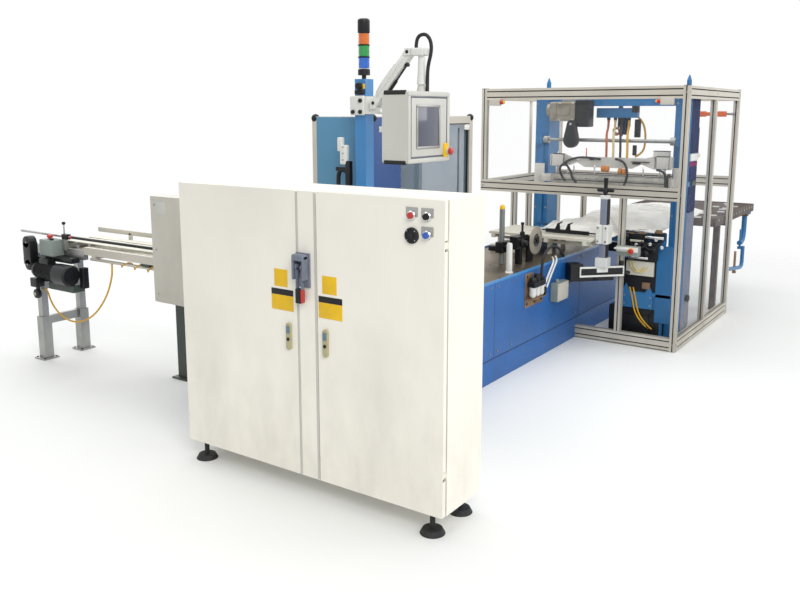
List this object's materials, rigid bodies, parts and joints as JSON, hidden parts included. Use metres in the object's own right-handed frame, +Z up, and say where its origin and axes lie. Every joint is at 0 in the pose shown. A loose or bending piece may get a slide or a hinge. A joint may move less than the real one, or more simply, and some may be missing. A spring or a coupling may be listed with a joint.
{
  "type": "stack packing machine",
  "caption": "Packing line machine: control cabinet, infeed belt conveyor, bed, operator panel on a spring arm and a guarded film sealing portal.",
  "frame": {"origin": "on the floor under the middle of the bed", "axes": "+X runs with the product along the bed, +Y away from the operator side towards the infeed conveyor, +Z up"},
  "size_m": [5.987, 3.873, 2.234],
  "materials": {
    "arm_white": "white enamel",
    "blue_paint": "worn paint",
    "stainless": "brushed, stained",
    "belt_cream": "belt",
    "black_plastic": "moulded",
    "cabinet_paint": "powder coat",
    "box_grey": "grey-green enamel",
    "black_paint": "paint",
    "latch_grey": "satin",
    "portal_paint": "paint",
    "rusty_steel": "rusted paint",
    "white_plastic": "moulded",
    "film": "thin film",
    "table_cream": "cream enamel",
    "aluminium": "anodised",
    "clear_sheet": "clear sheet",
    "tinted_sheet": "tinted sheet",
    "cable_yellow": "sheath",
    "steel": "brushed",
    "green_paint": "paint",
    "post_paint": "gloss paint",
    "panel_paint": "powder coat",
    "motor_grey": "grey enamel",
    "copper_plate": "brown primer",
    "box_paint": "powder coat",
    "switch_grey": "grey enamel"
  },
  "bodies": {
    "machine": {"arm_clamp": "arm_white", "bed_base": "blue_paint", "bed_top": "stainless", "bed_tracks": "belt_cream", "cabinet_feet": "black_plastic", "cabinet_shell": "cabinet_paint", "control_boxes": "box_grey", "disc_bracket": "black_paint", "exit_bracket": "portal_paint", "exit_table": "rusty_steel", "film_posts": "white_plastic", "film_sheet": "film", "film_table": "table_cream", "frame_cross_rails": "aluminium", "frame_long_rails": "aluminium", "frame_mid_posts": "aluminium", "frame_panels": "clear_sheet", "frame_posts": "aluminium", "frame_switches": "box_grey", "guard_panels": "tinted_sheet", "guard_posts": "aluminium", "guard_rails": "aluminium", "guide_arm": "black_paint", "guide_column": "aluminium", "head_hoses": "black_plastic", "hook_bar": "black_paint", "infeed_belts": "belt_cream", "infeed_cable": "cable_yellow", "infeed_control": "box_grey", "infeed_drive": "black_paint", "infeed_guides": "steel", "infeed_leg": "green_paint", "infeed_rails": "aluminium", "infeed_rollers": "steel", "infeed_stand": "steel", "lower_jaw": "portal_paint", "operator_post": "post_paint", "portal_belt_guard": "black_plastic", "portal_drive": "motor_grey", "portal_frame": "portal_paint", "regulator": "copper_plate", "side_box": "box_paint", "side_rail": "black_paint", "signal_tower": "black_plastic", "switch_housing": "switch_grey", "transfer_unit": "white_plastic"},
    "door_left": {"door_left": "cabinet_paint", "door_left_latch": "latch_grey"},
    "door_right": {"door_right": "cabinet_paint", "door_right_latch": "latch_grey", "cabinet_buttons": "black_plastic"},
    "switch_handle": {"switch_handle": "black_plastic"},
    "spreader_disc": {"spreader_disc": "steel"},
    "arm_turret": {"arm_turret": "arm_white"},
    "spring_arm": {"spring_arm": "arm_white"},
    "arm_elbow": {"arm_elbow": "arm_white", "panel_conduit": "black_plastic"},
    "panel": {"panel_box": "panel_paint"},
    "sealing_head": {"sealing_head": "steel"},
    "line_shaft": {"line_shaft": "steel"}
  },
  "joints": [
    {"name": "door_left_hinge", "type": "hinge", "parent": "machine", "child": "door_left", "pos_m": [-2.777, 0.268, 0.758], "axis": [0, 0, -1], "range_deg": [0, 100]},
    {"name": "door_right_hinge", "type": "hinge", "parent": "machine", "child": "door_right", "pos_m": [-2.777, -1.231, 0.758], "axis": [0, 0, 1], "range_deg": [0, 100]},
    {"name": "switch_throw", "type": "hinge", "parent": "machine", "child": "switch_handle", "pos_m": [-2.817, -0.533, 1.085], "axis": [0, 1, 0], "range_deg": [0, 95]},
    {"name": "disc_spin", "type": "hinge", "parent": "machine", "child": "spreader_disc", "pos_m": [-0.02, -0.328, 0.834], "axis": [0, 1, 0], "continuous": true},
    {"name": "arm_swivel", "type": "hinge", "parent": "machine", "child": "arm_turret", "pos_m": [-1.95, -0.303, 1.765], "axis": [0, 0, 1], "range_deg": [-40, 40]},
    {"name": "arm_lift", "type": "hinge", "parent": "arm_turret", "child": "spring_arm", "pos_m": [-1.95, -0.303, 1.8], "axis": [1, 0, 0], "range_deg": [0, 55]},
    {"name": "arm_level", "type": "hinge", "parent": "spring_arm", "child": "arm_elbow", "pos_m": [-1.95, -0.516, 2.051], "axis": [1, 0, 0], "range_deg": [-55, 0]},
    {"name": "panel_swivel", "type": "hinge", "parent": "arm_elbow", "child": "panel", "pos_m": [-1.95, -0.585, 1.87], "axis": [0, 0, 1], "range_deg": [-45, 45]},
    {"name": "head_lift", "type": "slide", "parent": "machine", "child": "sealing_head", "axis": [0, 0, 1], "range_m": [-0.32, 0]},
    {"name": "shaft_turn", "type": "hinge", "parent": "machine", "child": "line_shaft", "pos_m": [0.77, -0.54, 1.538], "axis": [0, 1, 0], "range_deg": [-360, 0]}
  ],
  "couplings": [
    {"joint": "arm_level", "follows": "arm_lift", "ratio": -1},
    {"joint": "shaft_turn", "follows": "head_lift", "rad_per_m": 19.635}
  ]
}
